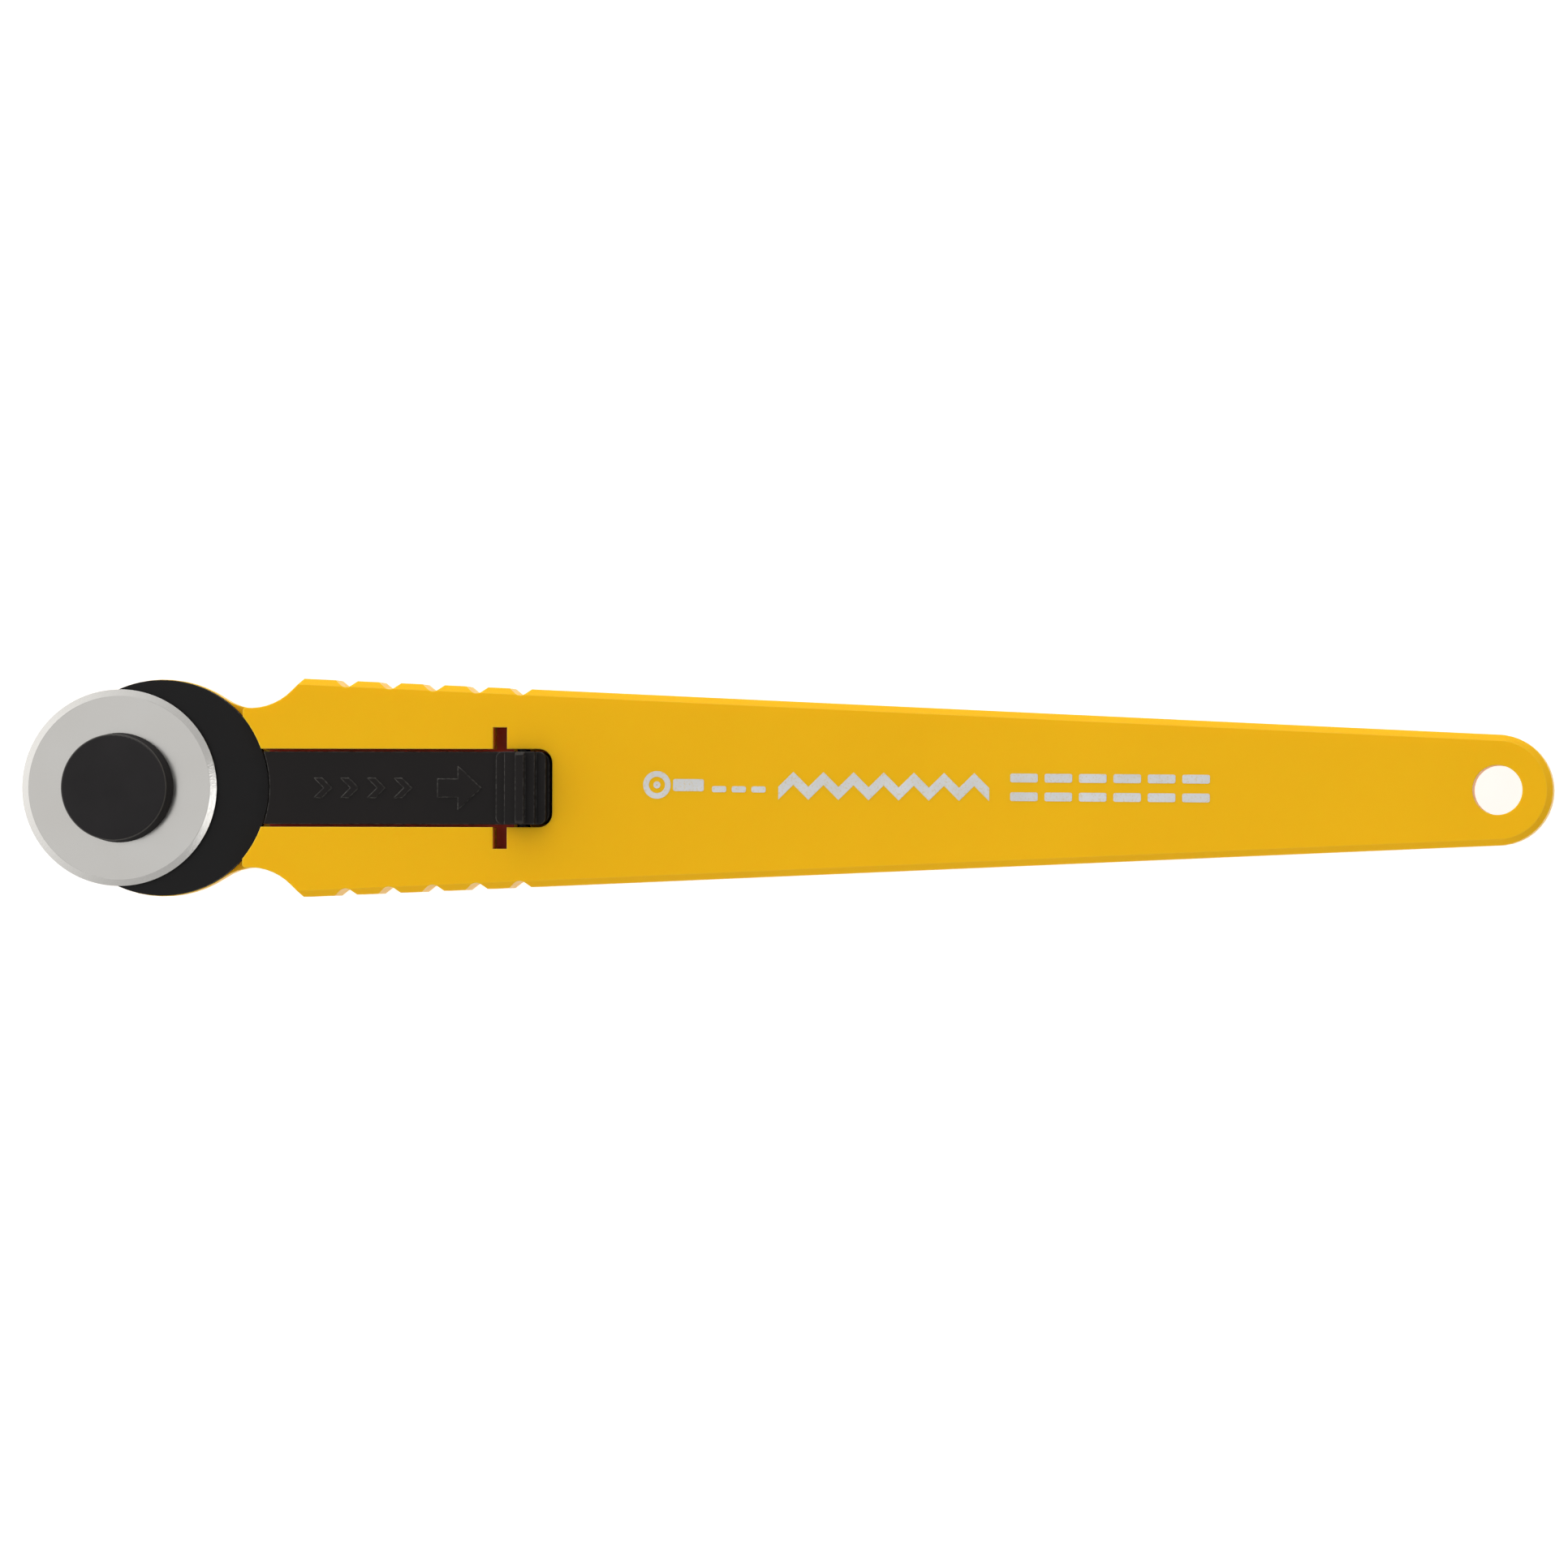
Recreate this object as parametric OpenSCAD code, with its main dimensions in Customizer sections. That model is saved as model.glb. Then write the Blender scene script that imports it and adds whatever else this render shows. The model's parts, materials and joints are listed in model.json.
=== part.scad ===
// Small rotary cutter with a sliding blade guard.
// Lengths are in millimetres. The cutter lies on its back face: X runs along it from the blade
// to the hang hole, Y runs across it and Z rises from the back face. The origin is under the
// middle of the whole length, and the guard is drawn back, so that the blade is open.

/* [Blade] */
// Diameter of the blade
blade_d = 18; // [17.5:0.1:18.4]
// Thickness of the blade
blade_t = 0.3; // [0.25:0.05:0.35]
// Width of the ground bevel at the cutting edge
bevel_w = 0.6; // [0.4:0.1:0.9]
// Diameter of the hole in the blade
blade_bore_d = 6; // [5.6:0.1:6.4]
// Diameter of the foot of the smooth cap over the blade's middle
cap_d = 10.04; // [9.6:0.02:10.6]
// Height of the cap's top above the back face
cap_top = 6.9; // [5.6:0.1:7.2]

/* [Handle] */
// Distance from the blade's axis to the middle of the hang hole
reach = 126; // [120:1:140]
// Thickness of the handle
handle_h = 6; // [5.8:0.1:6.6]
// Thickness of the head plate and of the handle's floor
plate_t = 1.9; // [1.7:0.1:2]
// Height of the joint between the two halves of the handle
seam_z = 3.9; // [3.7:0.1:4.1]
// Radius of the round head plate
head_r = 9.93; // [9.8:0.01:10.2]
// Distance from the hang hole to the corner of the shoulders
shoulder_run = 108.65; // [108.2:0.05:109]
// Half the width across the shoulders
shoulder_w = 9.95; // [9.6:0.05:10.4]
// Half the width at the narrowest place of the neck
neck_w = 7.27; // [7:0.01:7.5]
// Radius of the hollow curve at the neck
neck_r = 5.3; // [5:0.1:5.6]
// Radius of the round tail
tail_r = 5; // [4.6:0.1:5.6]
// Diameter of the hang hole
hang_d = 4.5; // [4:0.1:5]
// Chamfer along the handle's long edges and round its tail
edge_c = 0.55; // [0.3:0.05:0.7]
// Thickness of the handle's side walls
wall_t = 1.8; // [1.6:0.1:2]

/* [Grip notches] */
// Number of notches in each side
notch_n = 5; // [3:1:6]
// Distance between notches
notch_pitch = 4; // [3.6:0.1:4.2]
// Distance from the shoulder's corner to the first notch
notch_start = 3.9; // [3:0.1:4.5]
// Width of a notch at its mouth
notch_w = 2.03; // [1.8:0.01:2.2]
// Depth of a notch
notch_depth = 0.6; // [0.5:0.05:0.65]

/* [Guard and slide] */
// Travel of the guard
travel = 3.86; // [3.6:0.02:4]
// Radius of the guard disc
guard_r = 9.87; // [9.7:0.01:10]
// Thickness of the guard disc
guard_t = 1.05; // [0.9:0.05:1.1]
// Width of the channel in the handle
channel_w = 7.12; // [7:0.02:7.3]
// Width of the slide bar
bar_w = 6.6; // [6.5:0.05:6.8]
// Height of the slide bar's top above the back face
bar_top = 5.7; // [5.5:0.05:5.9]
// Width of the cross slots that let the cross pin out
slot_w = 1.29; // [1.25:0.01:1.4]
// Length of the cross slots over the whole width of the handle
slot_span = 11.06; // [10.8:0.02:11.4]
// Height of each step of the thumb pad
step_h = 1; // [0.6:0.05:1.2]

/* [Hidden] */
$fn = 128;
eps = 0.01;                       // how far a cutter runs past the face it opens
yellow = [0.906, 0.694, 0.106];
black = [0.15, 0.142, 0.141];
steel = [0.76, 0.75, 0.73];
brass = [0.72, 0.6, 0.35];

// Places along the cutter
blade_r = blade_d / 2;
blade_x = blade_r - (blade_r + reach + tail_r) / 2;
hang_x = blade_x + reach;
guard_x = blade_x + travel;
shoulder_x = hang_x - shoulder_run;

// The long edges run from the shoulders to the round tail and touch it
edge_reach = norm([shoulder_run, shoulder_w]);
edge_a = atan2(shoulder_w, shoulder_run) - asin(tail_r / edge_reach);
edge_len = sqrt(edge_reach * edge_reach - tail_r * tail_r);
function half_width(x) = shoulder_w - (x - shoulder_x) * tan(edge_a);

// The neck's hollow curve touches the head plate and leaves at a slope to the shoulders
neck_y = neck_w + neck_r;
neck_x = guard_x + sqrt(pow(head_r + neck_r, 2) - neck_y * neck_y);
neck_touch_a = atan2(neck_y, neck_x - guard_x);
neck_slope_a = 46;

// Inside of the handle
top_wall_t = 1.6;
roof_z = handle_h - top_wall_t;
nose_r = head_r + 0.3;            // the step at the nose, round the drawn-back guard
nose_x = guard_x + 7.9;           // front ends of the step
nose_y = neck_y - sqrt(neck_r * neck_r - pow(nose_x - neck_x, 2));
nose_c = 0.22;                    // cut across the corners of the step
hollow_x0 = shoulder_x + 1.9;
hollow_x1 = hang_x - hang_d / 2 - 3;
rim_t = 0.8;                      // locating rim of the front half
rim_drop = 0.8;
rim_gap = 0.05;
rib_t = 1;
rib_gap = 0.1;
rib_pitch = 12;
rib_n = 4;
boss_r = 1.6;

// Channel and slide, from the hang hole
channel_end = hang_x - 85.8;
bar_end = channel_end - 0.3;
channel_corner_r = 1.26;
bar_corner_r = 1;
slot_x = hang_x - 90.6;
pin_x = slot_x + travel / 2;      // the cross pin meets the slots halfway along the travel
bar_z0 = 2.7;
bar_hollow_r = 10.34;             // hollow end of the bar, round the guard disc
pad_x0 = bar_end - 4.75;
pad_l = 4.53;
pad_step_in = 0.88;
pad_rib_in = 1.99;                // from the pad's front edge to its rib
pad_rib_l = 0.78;
pad_w = 6.6;
pad_r = 0.6;
stem_l = 2.4;
stem_w = 4;
stem_z0 = 4.7;
cross_pin_r = 0.6;
cross_pin_z = 3.72;
mark_h = 0.2;                     // height of the raised marks on the bar

// Hub of the blade
slide_gap = 0.1;                  // room between the head plate and the guard
guard_z0 = plate_t + slide_gap;
guard_z1 = guard_z0 + guard_t;
tongue_w = 6.5;
tongue_end = guard_x + 16.5;
pin_bore_r = 1.5;
pin_r = pin_bore_r + 0.01;
foot_r = 2.45;
foot_z0 = 0.05;
foot_z1 = guard_z0 - 0.05;
pin_top = cap_top - 0.8;
slot_clear = 0.07;                // between the hub pin and the guard's slot
keyhole_r = foot_r + 0.1;
run_gap = 0.04;                   // above and below the blade
collar_r = blade_bore_d / 2 - 0.05;
flange_r = collar_r + 0.85;
flange_t = 0.12;
flange_z0 = guard_z1 + 0.05;
blade_z0 = flange_z0 + flange_t + run_gap;
blade_z1 = blade_z0 + blade_t;
edge_land = 0.02;                 // flat left at the very edge of the blade
washer_t = 0.15;
washer_bow_r = 45;
washer_r0 = collar_r + 0.1;
washer_r1 = 4.15;
washer_z0 = blade_z1 + run_gap;
washer_bow = washer_bow_r - sqrt(washer_bow_r * washer_bow_r - washer_r1 * washer_r1);
cap_roof = washer_z0 + washer_t + washer_bow + run_gap;
cap_z0 = blade_z1 + 0.1;
cap_wall_in = 0.55;
cap_edge_r = 0.18;
cap_draft = 0.15;                 // how far the cap's wall leans in over its height
bush_r = 2.9;
bush_bore_r = foot_r + 0.05;
bush_flange_r = 3.5;
bush_flange_t = 0.4;

// Screws and pressed pins
press_bite = 0.01;
pilot_room = 0.1;                 // depth of a pilot hole past the screw's tip
handle_screw_at = [[-38, -5.3], [-38, 5.3], [-8, 0], [48, 0]];
screw_r = 0.9;
screw_pilot_r = 0.8;
screw_head_r = 1.6;
screw_head_z0 = 0.1;
screw_head_z1 = 0.95;
screw_tip = 5.1;
guard_screw_at = [[guard_x + 13.9, -1.9], [guard_x + 13.9, 1.9]];
guard_screw_r = 0.7;
guard_pilot_r = 0.65;
guard_head_r = 1.25;
guard_head_t = 0.5;
guard_screw_tip = 4.6;

// Brake spring: a flat tab under the bar and a bowed leaf that rubs on the channel's floor
leaf_t = 0.2;
leaf_w = 4;
tab_w = 5.8;
tab_x0 = guard_x + 11.6;
leaf_x0 = guard_x + 16.6;
leaf_r = 19.7;
leaf_low = plate_t + 0.05;
leaf_drop = bar_z0 - leaf_low;
leaf_mid_x = leaf_x0 + sqrt(leaf_drop * (2 * leaf_r - leaf_drop));
leaf_x1 = leaf_mid_x + 4.4;

// A solid with a flat outline between two heights
module slab(z0, z1) {
    translate([0, 0, z0])
        linear_extrude(z1 - z0)
            children();
}

// A round bar or bore between two heights
module post(r, z0, z1) {
    translate([0, 0, z0])
        cylinder(r = r, h = z1 - z0);
}

// A flat rectangle with round corners
module round_rect(x0, x1, w, r) {
    square_w = w - 2 * r;
    translate([x0, -square_w / 2])
        square([x1 - x0, square_w]);
    translate([x0 + r, -w / 2])
        square([x1 - x0 - 2 * r, w]);
    for (x = [x0 + r, x1 - r], y = [-1, 1])
        translate([x, y * square_w / 2])
            circle(r = r);
}

// ---- Handle ----

// Outline of the whole handle: head plate, neck, shoulders, long edges and tail
module handle_outline() {
    touch = [guard_x + head_r * cos(neck_touch_a), head_r * sin(neck_touch_a)];
    leave = [neck_x + neck_r * sin(neck_slope_a), neck_y - neck_r * cos(neck_slope_a)];
    tail = [hang_x + tail_r * sin(edge_a), tail_r * cos(edge_a)];
    upper = [touch, leave, [shoulder_x, shoulder_w], tail];
    lower = [for (i = [len(upper) - 1 : -1 : 0]) [upper[i].x, -upper[i].y]];
    difference() {
        polygon(concat(upper, lower));
        for (side = [-1, 1])
            translate([neck_x, side * neck_y])
                circle(r = neck_r);
    }
    translate([guard_x, 0])
        circle(r = head_r);
    translate([hang_x, 0])
        circle(r = tail_r);
}

// The handle's outline behind the round step at the nose
module grip_outline() {
    difference() {
        handle_outline();
        translate([guard_x, 0])
            circle(r = nose_r);
        translate([guard_x, -head_r - 1])
            square([nose_x - guard_x, 2 * head_r + 2]);
        for (side = [-1, 1])
            translate([nose_x, side * nose_y])
                polygon([[-nose_c, 0], [0, -nose_c], [nose_c, 0], [0, nose_c]]);
    }
}

// Outline of the hollow, drawn in from the handle's walls
module hollow_outline(inset) {
    x0 = hollow_x0 + inset;
    x1 = hollow_x1 - inset;
    in_y = (wall_t + inset) / cos(edge_a);
    y0 = half_width(x0) - in_y;
    y1 = half_width(x1) - in_y;
    polygon([[x0, y0], [x1, y1], [x1, -y1], [x0, -y0]]);
}

// Puts its children at the shoulder's corner, with X along one long edge and Y outward
module along_edge(side) {
    mirror([0, side < 0 ? 1 : 0, 0])
        translate([shoulder_x, shoulder_w, 0])
            rotate(-edge_a)
                children();
}

// One grip notch, from the edge line inwards, with straight walls and a round bottom
module notch() {
    wall_a = 39;
    half = notch_w / 2;
    tip = half * tan(wall_a);
    r = (tip - notch_depth) / (1 / cos(wall_a) - 1);
    middle = notch_depth - r;
    run = 0.5;
    low = [r * sin(wall_a), -middle - r * cos(wall_a)];
    high = [half + run / tan(wall_a), run];
    polygon([high, low, [-low.x, low.y], [-high.x, high.y]]);
    translate([0, -middle])
        circle(r = r);
}

module notches() {
    for (side = [-1, 1], i = [0 : notch_n - 1])
        along_edge(side)
            translate([notch_start + i * notch_pitch, 0])
                slab(-1, handle_h + 1)
                    notch();
}

// Chamfer cutters for the top edges; mirrored, they cut the back edges
module edge_cutters() {
    run = 1;
    section = [
        [-edge_c - run, handle_h + run],
        [run, handle_h + run],
        [run, handle_h - edge_c - run]
    ];
    for (side = [-1, 1])
        along_edge(side)
            translate([-run, 0, 0])
                rotate([90, 0, 90])
                    linear_extrude(edge_len + 2 * run)
                        polygon(section);
    // the tail's cutter stands a hair outside, so that it meets the straight ones in a clean line
    translate([hang_x, 0, 0])
        rotate(edge_a - 90)
            rotate_extrude(angle = 180 - 2 * edge_a)
                translate([tail_r + 0.02, 0])
                    polygon(section);
}

module back_edge_cutters() {
    translate([0, 0, handle_h])
        mirror([0, 0, 1])
            edge_cutters();
}

// The channel that the slide runs in, open at the nose
module channel() {
    slab(plate_t, handle_h + 1)
        round_rect(guard_x, channel_end, channel_w, channel_corner_r);
}

module cross_slots() {
    slab(roof_z - 1, handle_h + 1)
        translate([slot_x - slot_w / 2, -slot_span / 2])
            square([slot_w, slot_span]);
}

module hang_hole() {
    translate([hang_x, 0, 0])
        post(hang_d / 2, -1, handle_h + 1);
}

module at_handle_screws() {
    for (place = handle_screw_at)
        translate([place.x, place.y, 0])
            children();
}

// Thin rim under the front half that drops inside the walls of the back half
module locating_rim() {
    slab(seam_z - rim_drop, roof_z + eps)
        difference() {
            hollow_outline(rim_gap);
            hollow_outline(rim_gap + rim_t);
        }
}

module handle_front() {
    color(yellow)
        difference() {
            union() {
                difference() {
                    slab(seam_z, handle_h)
                        grip_outline();
                    slab(seam_z - 1, roof_z)
                        hollow_outline(0);
                }
                locating_rim();
                at_handle_screws()
                    post(boss_r, seam_z, roof_z + eps);
            }
            edge_cutters();
            channel();
            cross_slots();
            notches();
            hang_hole();
            at_handle_screws()
                post(screw_pilot_r, seam_z - 1, screw_tip + pilot_room);
        }
}

// Ribs on the floor behind the channel: one along the handle and a row across it
module floor_ribs() {
    first_x = channel_end + 1.2;
    rib_top = roof_z - rib_gap;
    slab(plate_t - eps, rib_top)
        intersection() {
            hollow_outline(rim_gap + rim_t + rib_gap);
            union() {
                translate([first_x, -rib_t / 2])
                    square([hollow_x1 - first_x, rib_t]);
                for (i = [0 : rib_n])
                    translate([first_x + 4 + i * rib_pitch, -shoulder_w])
                        square([rib_t, 2 * shoulder_w]);
                translate([first_x - rib_t, -shoulder_w])
                    square([rib_t, 2 * shoulder_w]);
            }
        }
}

module handle_back() {
    color(yellow)
        difference() {
            union() {
                slab(0, plate_t)
                    handle_outline();
                difference() {
                    slab(plate_t - eps, seam_z)
                        grip_outline();
                    slab(plate_t, seam_z + 1)
                        hollow_outline(0);
                    channel();
                }
                difference() {
                    floor_ribs();
                    at_handle_screws()
                        post(boss_r + rib_gap, seam_z, roof_z);
                }
                at_handle_screws()
                    post(boss_r, plate_t - eps, seam_z);
            }
            back_edge_cutters();
            notches();
            hang_hole();
            at_handle_screws() {
                post(screw_r + 0.1, -1, seam_z + 1);
                post(screw_head_r + 0.15, -1, screw_head_z1);
            }
            translate([blade_x, 0, 0]) {
                post(bush_r, -1, plate_t + 1);
                post(bush_flange_r + 0.1, -1, bush_flange_t);
            }
        }
}

// Four self-tapping screws, driven in from the back
module handle_screws() {
    cross_l = 1.8;
    cross_w = 0.45;
    cross_depth = 0.5;
    color(steel)
        at_handle_screws()
            difference() {
                union() {
                    post(screw_head_r, screw_head_z0, screw_head_z1);
                    post(screw_r, screw_head_z1 - eps, screw_tip);
                }
                for (turn = [0, 90])
                    rotate(turn)
                        translate([-cross_l / 2, -cross_w / 2, screw_head_z0 - 1])
                            cube([cross_l, cross_w, cross_depth + 1]);
            }
}

// ---- Hub and blade ----

// Bush that holds the foot of the hub pin in the head plate
module pivot_bush() {
    color(brass)
        translate([blade_x, 0, 0])
            difference() {
                union() {
                    post(bush_r, 0, plate_t);
                    post(bush_flange_r, 0, bush_flange_t);
                }
                post(bush_bore_r, -1, plate_t + 1);
            }
}

// Headed pin: its foot stands in the bush and the guard's slot runs on its shaft
module hub_pin() {
    color(steel)
        translate([blade_x, 0, 0]) {
            post(foot_r, foot_z0, foot_z1);
            post(pin_r, foot_z1 - eps, pin_top);
        }
}

// Flanged collar that the blade turns on
module blade_collar() {
    color(steel)
        translate([blade_x, 0, 0])
            difference() {
                union() {
                    post(flange_r, flange_z0, flange_z0 + flange_t);
                    post(collar_r, flange_z0, cap_roof);
                }
                post(pin_bore_r, flange_z0 - 1, cap_roof + 1);
            }
}

// Bowed washer between the blade and the cap
module spring_washer() {
    tall = washer_t + washer_bow;
    color(steel)
        translate([blade_x, 0, washer_z0])
            intersection() {
                difference() {
                    post(washer_r1, -1, tall + 1);
                    post(washer_r0, -2, tall + 2);
                }
                translate([0, 0, washer_bow_r])
                    rotate([90, 0, 0])
                        translate([0, 0, -washer_r1 - 1])
                            linear_extrude(2 * washer_r1 + 2)
                                difference() {
                                    circle(r = washer_bow_r, $fn = 720);
                                    circle(r = washer_bow_r - washer_t, $fn = 720);
                                    translate([-washer_bow_r - 1, tall - washer_bow_r + 1])
                                        square(2 * washer_bow_r + 2);
                                }
            }
}

// Smooth round cap, hollow underneath for the washer
module hub_cap() {
    r = cap_d / 2;
    top_r = r - cap_draft;
    edge_z = cap_top - cap_edge_r;
    color(black)
        translate([blade_x, 0, 0])
            difference() {
                rotate_extrude() {
                    polygon([[0, cap_z0], [r, cap_z0], [top_r, edge_z], [0, edge_z]]);
                    translate([0, cap_z0])
                        square([top_r - cap_edge_r, cap_top - cap_z0]);
                    translate([top_r - cap_edge_r, edge_z])
                        circle(r = cap_edge_r, $fn = 48);
                }
                post(r - cap_wall_in, cap_z0 - 1, cap_roof);
                post(pin_bore_r, cap_z0 - 1, pin_top + pilot_room);
            }
}

// Round blade, ground from both sides
module blade() {
    bore_r = blade_bore_d / 2;
    middle = blade_t / 2;
    color(steel)
        translate([blade_x, 0, blade_z0])
            rotate_extrude($fn = 256)
                polygon([
                    [bore_r, 0],
                    [blade_r - bevel_w, 0],
                    [blade_r, middle - edge_land / 2],
                    [blade_r, middle + edge_land / 2],
                    [blade_r - bevel_w, blade_t],
                    [bore_r, blade_t]
                ]);
}

// ---- Guard and slide ----

module at_guard_screws() {
    for (place = guard_screw_at)
        translate([place.x, place.y, 0])
            children();
}

// Slot that runs on the hub pin, with a round window that lets the pin's foot out halfway
module keyhole() {
    slot_r = pin_r + slot_clear;
    slab(guard_z0 - 1, guard_z1 + 1) {
        translate([blade_x, -slot_r])
            square([travel, 2 * slot_r]);
        for (x = [blade_x, blade_x + travel])
            translate([x, 0])
                circle(r = slot_r);
        translate([blade_x + travel / 2, 0])
            circle(r = keyhole_r);
    }
}

// Disc that covers the blade, with a thin tongue that runs under the bar
module guard_disc() {
    color(black)
        difference() {
            union() {
                slab(guard_z0, guard_z1)
                    translate([guard_x, 0])
                        circle(r = guard_r, $fn = 256);
                slab(guard_z0, bar_z0)
                    translate([guard_x, -tongue_w / 2])
                        square([tongue_end - guard_x, tongue_w]);
            }
            keyhole();
            at_guard_screws() {
                post(guard_screw_r + 0.05, guard_z0 - 1, bar_z0 + 1);
                translate([0, 0, guard_z0 - eps])
                    cylinder(r1 = guard_head_r + 0.1, r2 = guard_screw_r, h = guard_head_t + 0.1);
            }
        }
}

// Raised arrow that points the way the slide opens the blade
module arrow_mark() {
    shaft_l = 1.87;
    shaft_half = 0.84;
    head_half = 2;
    head_l = 2.17;
    tip = shaft_l + head_l;
    translate([hang_x - 96.35, 0])
        polygon([
            [0, -shaft_half],
            [shaft_l, -shaft_half],
            [shaft_l, -head_half],
            [tip, 0],
            [shaft_l, head_half],
            [shaft_l, shaft_half],
            [0, shaft_half]
        ]);
}

// Row of raised chevrons that leads to the arrow
module chevron_marks() {
    count = 4;
    pitch = 2.45;
    half = 0.9;
    thick = 0.75;
    lean = 0.9;
    for (i = [0 : count - 1])
        translate([hang_x - 107.7 + i * pitch, 0])
            polygon([
                [0, -half],
                [thick, -half],
                [thick + lean, 0],
                [thick, half],
                [0, half],
                [lean, 0]
            ]);
}

module bar_outline() {
    difference() {
        round_rect(guard_x, bar_end, bar_w, bar_corner_r);
        translate([guard_x, 0])
            circle(r = bar_hollow_r, $fn = 256);
    }
}

// A round pin or bore across the slide
module across(r, half) {
    translate([pin_x, half, cross_pin_z])
        rotate([90, 0, 0])
            cylinder(r = r, h = 2 * half);
}

// The pad's stem, and the socket in the bar that it is pressed into
module pad_stem(z1) {
    translate([pin_x - stem_l / 2, -stem_w / 2, stem_z0])
        cube([stem_l, stem_w, z1 - stem_z0]);
}

module slide_bar() {
    tab_room = 0.15;
    tab_x1 = leaf_x0 + 1.1;
    color(black) {
        difference() {
            slab(bar_z0, bar_top)
                bar_outline();
            translate([tab_x0 - tab_room, -tab_w / 2 - tab_room, bar_z0 - 1])
                cube([tab_x1 - tab_x0 + tab_room, tab_w + 2 * tab_room, 1 + leaf_t]);
            at_guard_screws()
                post(guard_pilot_r, bar_z0 - 1, guard_screw_tip + pilot_room);
            across(cross_pin_r - press_bite, bar_w);
            pad_stem(bar_top + 1);
        }
        slab(bar_top - eps, bar_top + mark_h) {
            arrow_mark();
            chevron_marks();
        }
    }
}

// Stepped thumb pad: two steps and a rib across the top
module thumb_pad() {
    z1 = handle_h + step_h;
    z2 = z1 + step_h;
    z3 = z2 + step_h;
    rib_c = 0.2;
    rib_half = pad_w / 2 - 0.1;
    color(black) {
        slab(bar_top, z1)
            round_rect(pad_x0, pad_x0 + pad_l, pad_w, pad_r);
        slab(z1 - eps, z2)
            translate([pad_x0 + pad_step_in, -pad_w / 2])
                square([pad_l - 2 * pad_step_in, pad_w]);
        translate([pad_x0 + pad_rib_in, 0, 0])
            rotate([90, 0, 90])
                linear_extrude(pad_rib_l)
                    polygon([
                        [-rib_half, z2 - eps],
                        [rib_half, z2 - eps],
                        [rib_half, z3 - rib_c],
                        [rib_half - rib_c, z3],
                        [rib_c - rib_half, z3],
                        [-rib_half, z3 - rib_c]
                    ]);
        pad_stem(bar_top + eps);
    }
}

// Steel pin across the bar; its ends run under the lips of the channel
module cross_pin() {
    color(steel)
        across(cross_pin_r, slot_span / 2 - 0.2);
}

// Two countersunk screws that hold the tongue and the spring's tab under the bar
module guard_screws() {
    drive_w = 0.3;
    drive_depth = 0.25;
    color(steel)
        at_guard_screws()
            difference() {
                union() {
                    translate([0, 0, guard_z0 + eps])
                        cylinder(r1 = guard_head_r, r2 = guard_screw_r, h = guard_head_t);
                    post(guard_screw_r, guard_z0 + guard_head_t, guard_screw_tip);
                }
                translate([-guard_head_r, -drive_w / 2, guard_z0 - 1])
                    cube([2 * guard_head_r, drive_w, 1 + drive_depth]);
            }
}

module brake_spring() {
    color(steel) {
        difference() {
            translate([tab_x0, -tab_w / 2, bar_z0])
                cube([leaf_x0 + eps - tab_x0, tab_w, leaf_t]);
            at_guard_screws()
                post(guard_screw_r + 0.1, bar_z0 - 1, bar_z0 + 1);
        }
        translate([0, leaf_w / 2, 0])
            rotate([90, 0, 0])
                linear_extrude(leaf_w)
                    intersection() {
                        translate([leaf_mid_x, leaf_low + leaf_r])
                            difference() {
                                circle(r = leaf_r, $fn = 360);
                                circle(r = leaf_r - leaf_t, $fn = 360);
                            }
                        translate([leaf_x0 - leaf_t, 0])
                            square([leaf_x1 - leaf_x0 + leaf_t, bar_z0 + leaf_t]);
                    }
    }
}

handle_front();
handle_back();
handle_screws();
pivot_bush();
hub_pin();
blade_collar();
spring_washer();
hub_cap();
blade();
guard_disc();
slide_bar();
thumb_pad();
cross_pin();
guard_screws();
brake_spring();
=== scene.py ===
# Looks of the rotary cutter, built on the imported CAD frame. Units are metres, +X runs from the
# blade to the hang hole and +Z rises from the back face.
import json
import math

import bmesh
import bpy
from mathutils import Matrix, Vector


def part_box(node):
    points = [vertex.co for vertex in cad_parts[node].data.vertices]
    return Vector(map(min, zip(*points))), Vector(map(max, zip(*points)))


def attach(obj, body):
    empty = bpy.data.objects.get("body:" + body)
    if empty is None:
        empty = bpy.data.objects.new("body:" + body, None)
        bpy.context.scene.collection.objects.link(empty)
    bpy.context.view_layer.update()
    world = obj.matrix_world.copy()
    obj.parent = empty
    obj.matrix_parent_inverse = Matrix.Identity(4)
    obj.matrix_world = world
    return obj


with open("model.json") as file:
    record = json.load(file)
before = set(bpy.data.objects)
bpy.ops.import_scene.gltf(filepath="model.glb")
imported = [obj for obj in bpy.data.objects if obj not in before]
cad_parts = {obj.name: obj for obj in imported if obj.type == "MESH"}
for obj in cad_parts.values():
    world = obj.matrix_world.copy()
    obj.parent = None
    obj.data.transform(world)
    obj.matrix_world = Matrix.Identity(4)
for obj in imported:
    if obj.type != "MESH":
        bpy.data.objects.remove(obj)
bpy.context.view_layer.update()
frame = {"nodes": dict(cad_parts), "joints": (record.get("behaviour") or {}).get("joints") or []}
MM = 0.001


# ---- Places taken from the frame ----

def middle(node):
    """Centre of a CAD node's box."""
    low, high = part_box(node)
    return (low + high) / 2


BLADE = middle("blade")
BLADE_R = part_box("blade")[1].x - BLADE.x
BEVEL_W = 0.62 * MM
TOP_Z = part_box("handle_front")[1].z
BACK_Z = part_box("handle_back")[0].z

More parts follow.
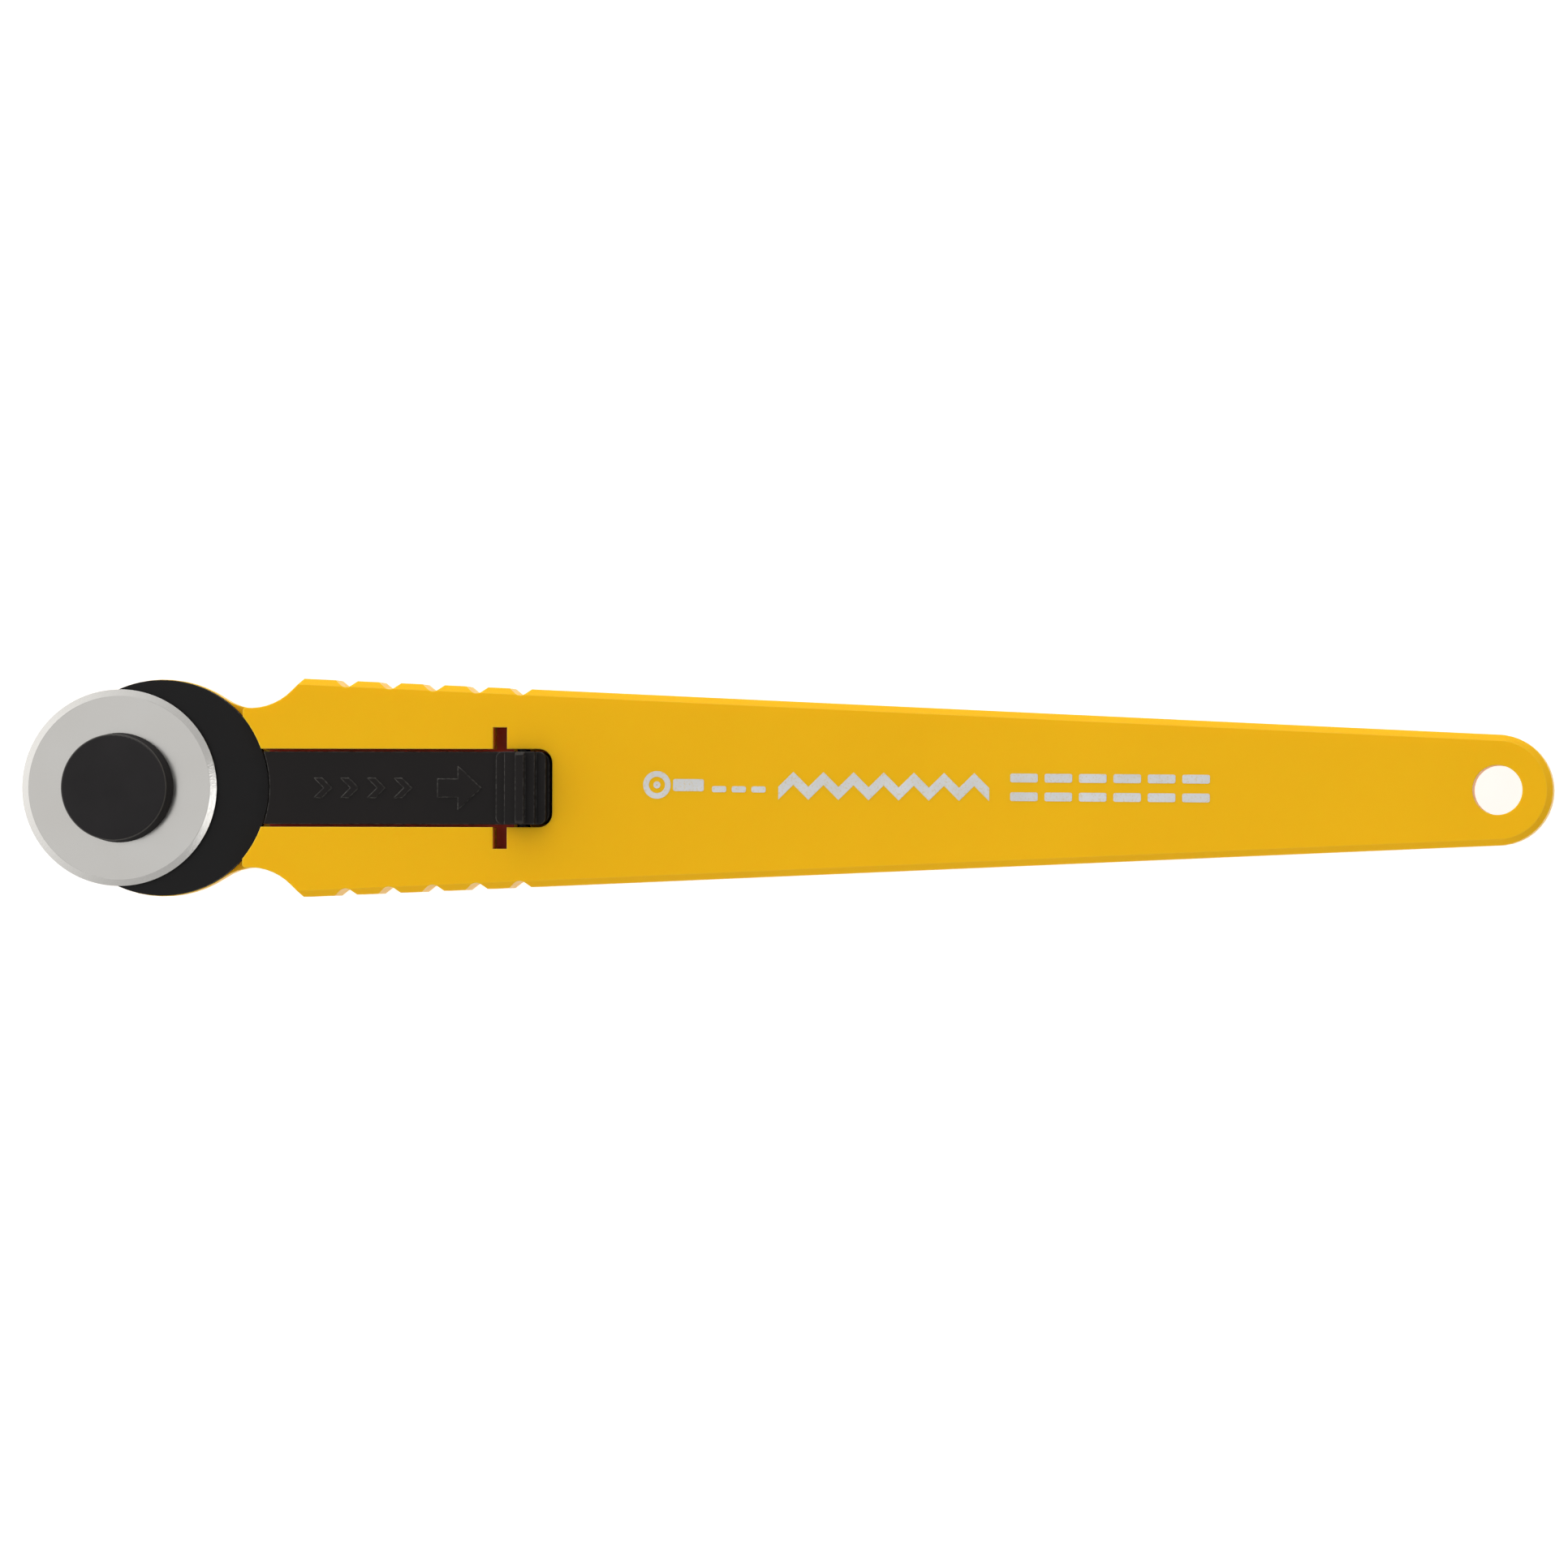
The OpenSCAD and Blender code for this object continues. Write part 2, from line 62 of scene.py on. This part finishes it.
# Painted light: the handle is painted red, with a faint painted glow, in the cross slots and in the
# gap on each side of the slide bar, as if light had come through the plastic there.
TRAVEL = next(joint["range_m"][1] for joint in frame["joints"] if joint["name"] == "guard_slide")
SLOT_X = middle("cross_pin").x - TRAVEL / 2     # the pin meets the slots halfway along
SLOT_X0 = SLOT_X - 0.8 * MM
SLOT_X1 = SLOT_X + 0.8 * MM
SLOT_HALF_W = 5.7 * MM
BAR_X0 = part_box("slide_bar")[0].x
CHANNEL_HALF_W = 3.58 * MM
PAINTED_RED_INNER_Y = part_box("slide_bar")[1].y - 0.1 * MM
PAINTED_RED_START_Z = TOP_Z - 0.15 * MM
PAINTED_RED_FULL_Z = TOP_Z - 1.6 * MM
PAINTED_RED_LOWEST_Z = BACK_Z + 1 * MM


# ---- Helpers ----

def add_object(name, data):
    made = bpy.data.objects.new(name, data)
    bpy.context.scene.collection.objects.link(made)
    return made


class Graph:
    """The node tree of a material or of the world, with short calls for the nodes used here."""

    def __init__(self, owner, shader, coordinates):
        owner.use_nodes = True
        self.owner = owner
        self.tree = owner.node_tree
        self.shader = self.tree.nodes[shader]
        self.place = self.node("ShaderNodeTexCoord").outputs[coordinates]

    def node(self, kind, **settings):
        made = self.tree.nodes.new(kind)
        for key, value in settings.items():
            setattr(made, key, value)
        return made

    def link(self, source, target):
        self.tree.links.new(source, target)

    def put(self, socket, value):
        """Links a socket's value, or sets a number or colour on it."""
        if isinstance(value, bpy.types.NodeSocket):
            self.link(value, socket)
        else:
            socket.default_value = value

    def math(self, operation, a, b=0.0, c=0.0):
        made = self.node("ShaderNodeMath", operation=operation)
        for socket, value in zip(made.inputs, (a, b, c)):
            self.put(socket, value)
        return made.outputs[0]

    def product(self, first, *others):
        for other in others:
            first = self.math("MULTIPLY", first, other)
        return first

    def parts(self, vector):
        """The X, Y and Z of a vector."""
        made = self.node("ShaderNodeSeparateXYZ")
        self.link(vector, made.inputs[0])
        return made.outputs

    def noise(self, scale, detail=2.0, roughness=0.5, at=None, stretch=None):
        """Noise from about 0.25 to 0.75, with scale in features per metre."""
        source = at or self.place
        if stretch:
            mapping = self.node("ShaderNodeMapping")
            self.put(mapping.inputs["Scale"], stretch)
            self.link(source, mapping.inputs["Vector"])
            source = mapping.outputs[0]
        made = self.node("ShaderNodeTexNoise")
        self.link(source, made.inputs["Vector"])
        made.inputs["Scale"].default_value = scale
        made.inputs["Detail"].default_value = detail
        made.inputs["Roughness"].default_value = roughness
        return made.outputs[0]

    def span(self, value, low, high, out_low, out_high):
        """Maps a value's stretch from low to high onto another stretch, and clamps it there."""
        made = self.node("ShaderNodeMapRange")
        for socket, number in zip(made.inputs[:5], (value, low, high, out_low, out_high)):
            self.put(socket, number)
        return made.outputs[0]

    def cloud(self, scale, detail, low=0.0, high=1.0):
        """Noise spread over the whole stretch from low to high."""
        return self.span(self.noise(scale, detail), 0.3, 0.7, low, high)

    def blend(self, share, a, b):
        """Colour a where share is 0, and b where it is 1."""
        made = self.node("ShaderNodeMix", data_type="RGBA")
        self.put(made.inputs["Factor"], share)
        self.put(made.inputs[6], a)
        self.put(made.inputs[7], b)
        return made.outputs[2]

    def bump(self, height, depth, under=None):
        """A bump whose height of 0 to 1 stands for depth metres."""
        made = self.node("ShaderNodeBump")
        made.inputs["Strength"].default_value = 1.0
        made.inputs["Distance"].default_value = depth
        self.put(made.inputs["Height"], height)
        if under:
            self.link(under, made.inputs["Normal"])
        return made.outputs[0]

    def rounded(self, radius):
        """The surface's normal, with edges shaded as if rounded to a radius in metres."""
        made = self.node("ShaderNodeBevel", samples=8)
        made.inputs["Radius"].default_value = radius
        return made.outputs[0]

    def edges(self, rounded):
        """0 on open surface, rising towards 1 on an edge, from the rounded normal there."""
        dot = self.node("ShaderNodeVectorMath", operation="DOT_PRODUCT")
        self.link(rounded, dot.inputs[0])
        self.link(self.node("ShaderNodeNewGeometry").outputs["Normal"], dot.inputs[1])
        return self.span(dot.outputs["Value"], 0.995, 0.85, 0, 1)

    def set(self, **sockets):
        """Sets the shader's sockets by name, with underscores for spaces."""
        for name, value in sockets.items():
            self.put(self.shader.inputs[name.replace("_", " ")], value)


def material_graph(name):
    return Graph(bpy.data.materials.new(name), "Principled BSDF", "Object")


def rgba(red, green, blue):
    return (red, green, blue, 1.0)


# ---- Materials ----

def handle_yellow():
    """Semi-gloss moulded yellow. Deep in the cross slots and in the gap beside the bar it is
    painted red, with a faint painted red glow, as if the light there had come through the plastic."""
    g = material_graph("handle_yellow")
    yellow = g.blend(g.cloud(60, 3), rgba(0.854, 0.464, 0.0021), rgba(0.884, 0.484, 0.0031))
    highlight_yellow = rgba(0.95, 0.66, 0.12)
    # Painted light: red for light that has come through the plastic, and a faint painted red glow.
    red = rgba(0.85, 0.085, 0.050)
    painted_red_glow = rgba(0.014, 0.003, 0.001)
    x, y, z = g.parts(g.place)
    off_y = g.math("ABSOLUTE", y)
    gap = g.product(g.math("GREATER_THAN", x, BAR_X0), g.math("LESS_THAN", off_y, CHANNEL_HALF_W))
    slot = g.product(g.math("GREATER_THAN", x, SLOT_X0), g.math("LESS_THAN", off_y, SLOT_HALF_W))
    # Mask of the painted red light, in the slots and the gaps beside the bar, fading in with depth.
    painted_red_mask = g.product(
        g.math("MAXIMUM", gap, slot),
        g.math("GREATER_THAN", off_y, PAINTED_RED_INNER_Y),
        g.math("LESS_THAN", x, SLOT_X1),
        g.math("GREATER_THAN", z, PAINTED_RED_LOWEST_Z),
        g.span(z, PAINTED_RED_START_Z, PAINTED_RED_FULL_Z, 0, 1),
    )
    rounded = g.rounded(0.14 * MM)
    # Painted highlight: edges are lightened towards pale yellow, for the shine on their rounding.
    painted_edge_highlight = g.product(g.edges(rounded), 0.5)
    ripple = g.bump(g.noise(180, 2), 0.02 * MM, rounded)
    g.set(
        Base_Color=g.blend(painted_edge_highlight, g.blend(painted_red_mask, yellow, red), highlight_yellow),
        Roughness=g.cloud(700, 4, 0.30, 0.40),
        Normal=g.bump(g.noise(9000, 2), 0.004 * MM, ripple),
        Emission_Color=g.blend(painted_red_mask, rgba(0, 0, 0), painted_red_glow),
        Emission_Strength=1.0,
        Subsurface_Weight=0.25,
        Subsurface_Scale=1.2 * MM,
        Subsurface_Radius=(1.0, 0.5, 0.1),
        IOR=1.5,
        Specular_IOR_Level=0.12,
    )
    return g.owner


def moulded_black(name, tint, rough, level=0.24, radius=0.08 * MM, highlight_share=0.8):
    """Fine-grained black plastic with matt walls. Its edges are painted a little greyer in patches,
    partly as scuffs and partly as a painted highlight, and the slopes that turn from a flat face to a
    wall get the same grey as a painted highlight, by a share given in the last argument."""
    g = material_graph(name)
    dark = rgba(*[c * 0.85 for c in tint])
    light = rgba(*[c * 1.15 for c in tint])
    black = g.blend(g.cloud(150, 3), dark, light)
    rounded = g.rounded(radius)
    # Partly real scuffs and partly a painted highlight: patchy grey on the edges, and a painted
    # highlight in the same grey on the slopes.
    edge_scuff_and_highlight = g.product(g.edges(rounded), g.span(g.noise(2600, 3), 0.42, 0.62, 0.25, 1))
    normal = g.parts(g.node("ShaderNodeNewGeometry").outputs["True Normal"])
    upright = g.math("ABSOLUTE", normal["Z"])
    wall = g.span(upright, 0.3, 0.1, 0, 1)
    slope_highlight = g.product(g.span(upright, 0.97, 0.75, 0, 1), g.math("SUBTRACT", 1, wall))
    scuff_and_highlight = g.math("MAXIMUM", edge_scuff_and_highlight, g.product(slope_highlight, highlight_share))
    grain = g.cloud(900, 4, rough - 0.05, rough + 0.06)
    g.set(
        Base_Color=g.blend(scuff_and_highlight, black, rgba(0.090, 0.085, 0.078)),
        Roughness=g.math("MAXIMUM", grain, g.product(wall, 0.85)),
        Normal=g.bump(g.noise(7000, 3), 0.004 * MM, rounded),
        IOR=1.45,
        Specular_IOR_Level=level,
    )
    return g.owner


def blade_steel():
    """Ground steel: a fine straight grain on the flat, and short radial lines on the bevel."""
    g = material_graph("blade_steel")
    place_x, y, _ = g.parts(g.place)
    x = g.math("SUBTRACT", place_x, BLADE.x)
    radius = g.math("SQRT", g.math("ADD", g.product(x, x), g.product(y, y)))
    angle = g.math("ARCTAN2", y, x)
    around = g.node("ShaderNodeCombineXYZ")
    g.link(g.math("COSINE", angle), around.inputs["X"])
    g.link(g.math("SINE", angle), around.inputs["Y"])
    g.link(g.product(radius, 60.0), around.inputs["Z"])
    lines = g.noise(55, 4, 0.7, at=around.outputs[0])
    bevel = g.math("GREATER_THAN", radius, BLADE_R - BEVEL_W)
    grain = g.noise(900, 3, stretch=(1.0, 14.0, 1.0))
    height = g.math("ADD", g.product(lines, bevel, 2.2), g.product(grain, 0.25))
    g.set(
        Base_Color=g.blend(g.cloud(120, 3), rgba(0.607, 0.590, 0.560), rgba(0.632, 0.620, 0.596)),
        Metallic=1.0,
        Roughness=g.math("SUBTRACT", g.cloud(400, 3, 0.14, 0.20), g.product(bevel, 0.03)),
        Normal=g.bump(height, 0.004 * MM, g.rounded(0.03 * MM)),
    )
    return g.owner


def plain_metal(name, light, dark, rough):
    """Smooth metal, faintly mottled between a light and a dark tint."""
    g = material_graph(name)
    g.set(
        Base_Color=g.blend(g.cloud(800, 3), rgba(*dark), rgba(*light)),
        Metallic=1.0,
        Roughness=g.cloud(2500, 3, rough - 0.06, rough + 0.08),
        Normal=g.bump(g.noise(5000, 2), 0.003 * MM),
    )
    return g.owner


def silver_ink():
    """Printed silver, a little thin and speckled where the ink has not covered."""
    g = material_graph("silver_ink")
    cover = g.span(g.noise(5200, 4, 0.7), 0.36, 0.46, 0.35, 1)
    ink = g.blend(g.cloud(300, 3), rgba(0.60, 0.60, 0.59), rgba(0.68, 0.69, 0.70))
    g.set(
        Base_Color=g.blend(cover, rgba(0.62, 0.50, 0.26), ink),
        Roughness=g.cloud(1500, 3, 0.40, 0.55),
        Normal=g.bump(g.noise(6000, 3), 0.004 * MM),
        Specular_IOR_Level=0.3,
    )
    return g.owner


def floor_white():
    """Matt grey with light of its own, so that the floor comes out white and its shadows pale."""
    g = material_graph("floor_white")
    g.set(
        Base_Color=g.blend(g.noise(3, 2), rgba(0.36, 0.36, 0.36), rgba(0.39, 0.39, 0.39)),
        Roughness=0.9,
        Specular_IOR_Level=0.1,
        Emission_Color=rgba(1, 1, 1),
        Emission_Strength=0.86,
    )
    return g.owner


# ---- CAD nodes ----

def dress_nodes():
    """Gives each CAD node its material."""
    yellow = handle_yellow()
    hub_black = moulded_black("hub_black", tint=(0.0220, 0.0205, 0.0210), rough=0.36,
                              level=0.08, radius=0.16 * MM)
    guard_black = moulded_black("guard_black", tint=(0.0034, 0.0030, 0.0032), rough=0.42)
    slide_black = moulded_black("slide_black", tint=(0.0050, 0.0032, 0.0028), rough=0.42,
                                radius=0.15 * MM, highlight_share=0.15)
    plated = plain_metal("plated_steel", (0.60, 0.60, 0.59), (0.50, 0.50, 0.50), rough=0.30)
    spring = plain_metal("spring_steel", (0.52, 0.53, 0.54), (0.42, 0.43, 0.45), rough=0.24)
    black_oxide = plain_metal("black_oxide", (0.035, 0.030, 0.027), (0.022, 0.019, 0.017), rough=0.40)
    brass = plain_metal("bush_brass", (0.70, 0.50, 0.22), (0.58, 0.40, 0.16), rough=0.32)
    looks = {
        "handle_front": yellow,
        "handle_back": yellow,
        "handle_screws": plated,
        "pivot_bush": brass,
        "hub_pin": plated,
        "blade_collar": plated,
        "spring_washer": spring,
        "hub_cap": hub_black,
        "blade": blade_steel(),
        "guard_disc": guard_black,
        "slide_bar": slide_black,
        "thumb_pad": slide_black,
        "cross_pin": black_oxide,
        "guard_screws": plated,
        "brake_spring": spring,
    }
    for node, material in looks.items():
        materials = frame["nodes"][node].data.materials
        materials.clear()
        materials.append(material)


# ---- Printed marks ----
# Plain shapes stand where the handle is printed: a small cutter with its cut line, a zigzag
# stitch and a double row of running stitches.

INK_LOW = TOP_Z - 0.01 * MM
INK_HIGH = TOP_Z + 0.02 * MM
INK_LINE = 0.56 * MM
PRINT_Y = 0.26 * MM             # the print is a little off the middle line,
PRINT_TURN = -0.28              # and turned by this many degrees
DIAL_X = -11.23 * MM            # the small cutter's blade
SHAFT_X0 = -9.75 * MM           # its handle
SHAFT_X1 = -6.95 * MM
SHAFT_W = 1.1 * MM
CUT_X = -6.2 * MM               # the dashes of its cut line
CUT_L = 1.3 * MM
CUT_PITCH = 1.8 * MM
CUT_Y = -0.35 * MM
ZIGZAG_X0 = -0.15 * MM
ZIGZAG_X1 = 19.05 * MM
ZIGZAG_HALF_W = 1.27 * MM
STITCH_X = 20.95 * MM           # the double row of running stitches
STITCH_L = 2.5 * MM
STITCH_W = 0.80 * MM
STITCH_PITCH = 3.12 * MM
STITCH_Y = 0.85 * MM


def ribbon(mesh, pairs, closed=False):
    """Adds a flat ribbon of ink between its two edges, given as pairs of points."""
    rings = [[mesh.verts.new((*spot, z)) for spot, z in
              ((one, INK_LOW), (two, INK_LOW), (two, INK_HIGH), (one, INK_HIGH))]
             for one, two in pairs]
    following = rings[1:] + rings[:1] if closed else rings[1:]
    for here, there in zip(rings, following):
        for i in range(4):
            j = (i + 1) % 4
            mesh.faces.new((here[i], here[j], there[j], there[i]))
    if not closed:
        mesh.faces.new(rings[0][::-1])
        mesh.faces.new(rings[-1])


def ink_ring(mesh, x, outer, inner):
    """A ring centred on x, between its outer and inner radius."""
    turns = [math.tau * i / 48 for i in range(48)]
    ribbon(mesh, [((x + outer * math.cos(turn), outer * math.sin(turn)),
                   (x + inner * math.cos(turn), inner * math.sin(turn)))
                  for turn in turns], closed=True)


def ink_dash(mesh, x0, x1, y, width):
    """A short bar from x0 to x1, with round corners."""
    corner = 0.18 * MM
    turns = [math.pi / 8 * i for i in range(5)]
    end = [(corner * (1 - math.sin(turn)), width / 2 - corner * (1 - math.cos(turn)))
           for turn in reversed(turns)]
    spots = [(x0 + dx, dy) for dx, dy in end] + [(x1 - dx, dy) for dx, dy in reversed(end)]
    ribbon(mesh, [((x, y + dy), (x, y - dy)) for x, dy in spots])


def ink_zigzag(mesh, x0, x1, strokes, half):
    """A zigzag line between x0 and x1 that reaches half its height on each side of y 0."""
    run = (x1 - x0) / strokes
    spread = INK_LINE / 2 * math.hypot(run, 2 * half) / run
    middle_half = half - spread
    pairs = []
    for i in range(strokes + 1):
        x = x0 + i * run
        y = middle_half if i % 2 else -middle_half
        pairs.append(((x, y + spread), (x, y - spread)))
    ribbon(mesh, pairs)


def make_print():
    """Adds the printed marks, as one piece that rides on the handle."""
    shapes = bmesh.new()
    ink_ring(shapes, DIAL_X, outer=1.26 * MM, inner=0.74 * MM)
    ink_ring(shapes, DIAL_X, outer=0.32 * MM, inner=0.06 * MM)
    ink_dash(shapes, SHAFT_X0, SHAFT_X1, 0, SHAFT_W)
    for i in range(3):
        x = CUT_X + CUT_PITCH * i
        ink_dash(shapes, x, x + CUT_L, CUT_Y, INK_LINE)
    ink_zigzag(shapes, ZIGZAG_X0, ZIGZAG_X1, strokes=14, half=ZIGZAG_HALF_W)
    for i in range(6):
        x = STITCH_X + STITCH_PITCH * i
        for y in (-STITCH_Y, STITCH_Y):
            ink_dash(shapes, x, x + STITCH_L, y, STITCH_W)
    bmesh.ops.recalc_face_normals(shapes, faces=shapes.faces)
    data = bpy.data.meshes.new("printed_marks")
    shapes.to_mesh(data)
    shapes.free()
    data.materials.append(silver_ink())
    marks = add_object("printed_marks", data)
    marks.location.y = PRINT_Y
    marks.rotation_euler.z = math.radians(PRINT_TURN)
    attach(marks, "handle")


# ---- Stage ----

CAMERA_PLACE = Vector((98, -10.24, 1000)) * MM
CAMERA_TARGET = Vector((0.114, 0.446, 3.4)) * MM
CAMERA_TURN = 0.1655            # degrees
LENS = 252.74
FLOOR_GAP = 0.05 * MM           # keeps the floor's face off the handle's back
WORLD_LEFT = (-1, 0.15, 0)      # the way to the bright side of the surroundings
WORLD_LEVEL = 0.63              # their brightness, which rises and falls by what follows
WORLD_LEFT_RISE = 0.75
WORLD_RIGHT_FALL = 0.35
WORLD_TOP_RISE = 0.5            # as a share, and the same share is lost at the foot


def aim(thing, place, target, turn=0.0):
    """Stands a camera or light at a place, facing a target, with +Y up in its picture."""
    ahead = (target - place).normalized()
    right = ahead.cross(Vector((0, 1, 0))).normalized()
    up = right.cross(ahead)
    turned_right = right * math.cos(turn) + up * math.sin(turn)
    turned_up = up * math.cos(turn) - right * math.sin(turn)
    axes = Matrix((turned_right, turned_up, -ahead)).transposed()
    thing.matrix_world = Matrix.Translation(place) @ axes.to_4x4()


def make_camera():
    """A long lens high over the tail end, aimed at the middle of the cutter."""
    data = bpy.data.cameras.new("camera")
    data.lens = LENS
    data.sensor_width = 36
    data.clip_start = 0.05
    data.clip_end = 10
    camera = add_object("camera", data)
    aim(camera, CAMERA_PLACE, CAMERA_TARGET, math.radians(CAMERA_TURN))
    bpy.context.scene.camera = camera


def make_light(name, place, size, brightness):
    """A rectangular light aimed at the origin, whose face looks as bright at any size."""
    width, height = size
    data = bpy.data.lights.new(name, "AREA")
    data.shape = "RECTANGLE"
    data.size = width
    data.size_y = height
    data.energy = brightness * math.pi * width * height
    light = add_object(name, data)
    aim(light, Vector(place), Vector((0, 0, 0)))


def make_world():
    """Soft surroundings, grey overhead. They rise to white towards the left and the top of the
    picture, and are darker towards its right and its foot."""
    g = Graph(bpy.data.worlds.new("world"), "Background", "Generated")
    dot = g.node("ShaderNodeVectorMath", operation="DOT_PRODUCT")
    dot.inputs[1].default_value = WORLD_LEFT
    g.link(g.place, dot.inputs[0])
    across = dot.outputs["Value"]
    leftward = g.math("MINIMUM", g.math("MAXIMUM", g.math("ADD", across, 0.4), 0), 1)
    rightward = g.math("MINIMUM", across, 0)
    y = g.parts(g.place)["Y"]
    upward = g.product(y, g.math("ABSOLUTE", y))
    rise = g.math("POWER", leftward, 2)
    fall = g.math("POWER", rightward, 2)
    level = g.math("MULTIPLY_ADD", rise, WORLD_LEFT_RISE, WORLD_LEVEL)
    level = g.math("MULTIPLY_ADD", fall, -WORLD_RIGHT_FALL, level)
    g.set(
        Color=rgba(1, 1, 1),
        Strength=g.product(level, g.math("MULTIPLY_ADD", upward, WORLD_TOP_RISE, 1)),
    )
    bpy.context.scene.world = g.owner


def make_stage():
    """The floor, the surroundings and two lights."""
    bpy.ops.mesh.primitive_plane_add(size=6)
    floor = bpy.context.object
    floor.name = "floor"
    floor.location.z = BACK_Z - FLOOR_GAP
    floor.data.materials.append(floor_white())
    make_world()
    make_light("rim", place=(0.05, 0.95, 0.22), size=(1.2, 0.36), brightness=0.95)
    make_light("side", place=(0.37, -0.13, 0.95), size=(0.26, 0.40), brightness=2.0)
    bpy.context.scene.view_settings.view_transform = "Standard"


dress_nodes()
make_print()
make_camera()
make_stage()
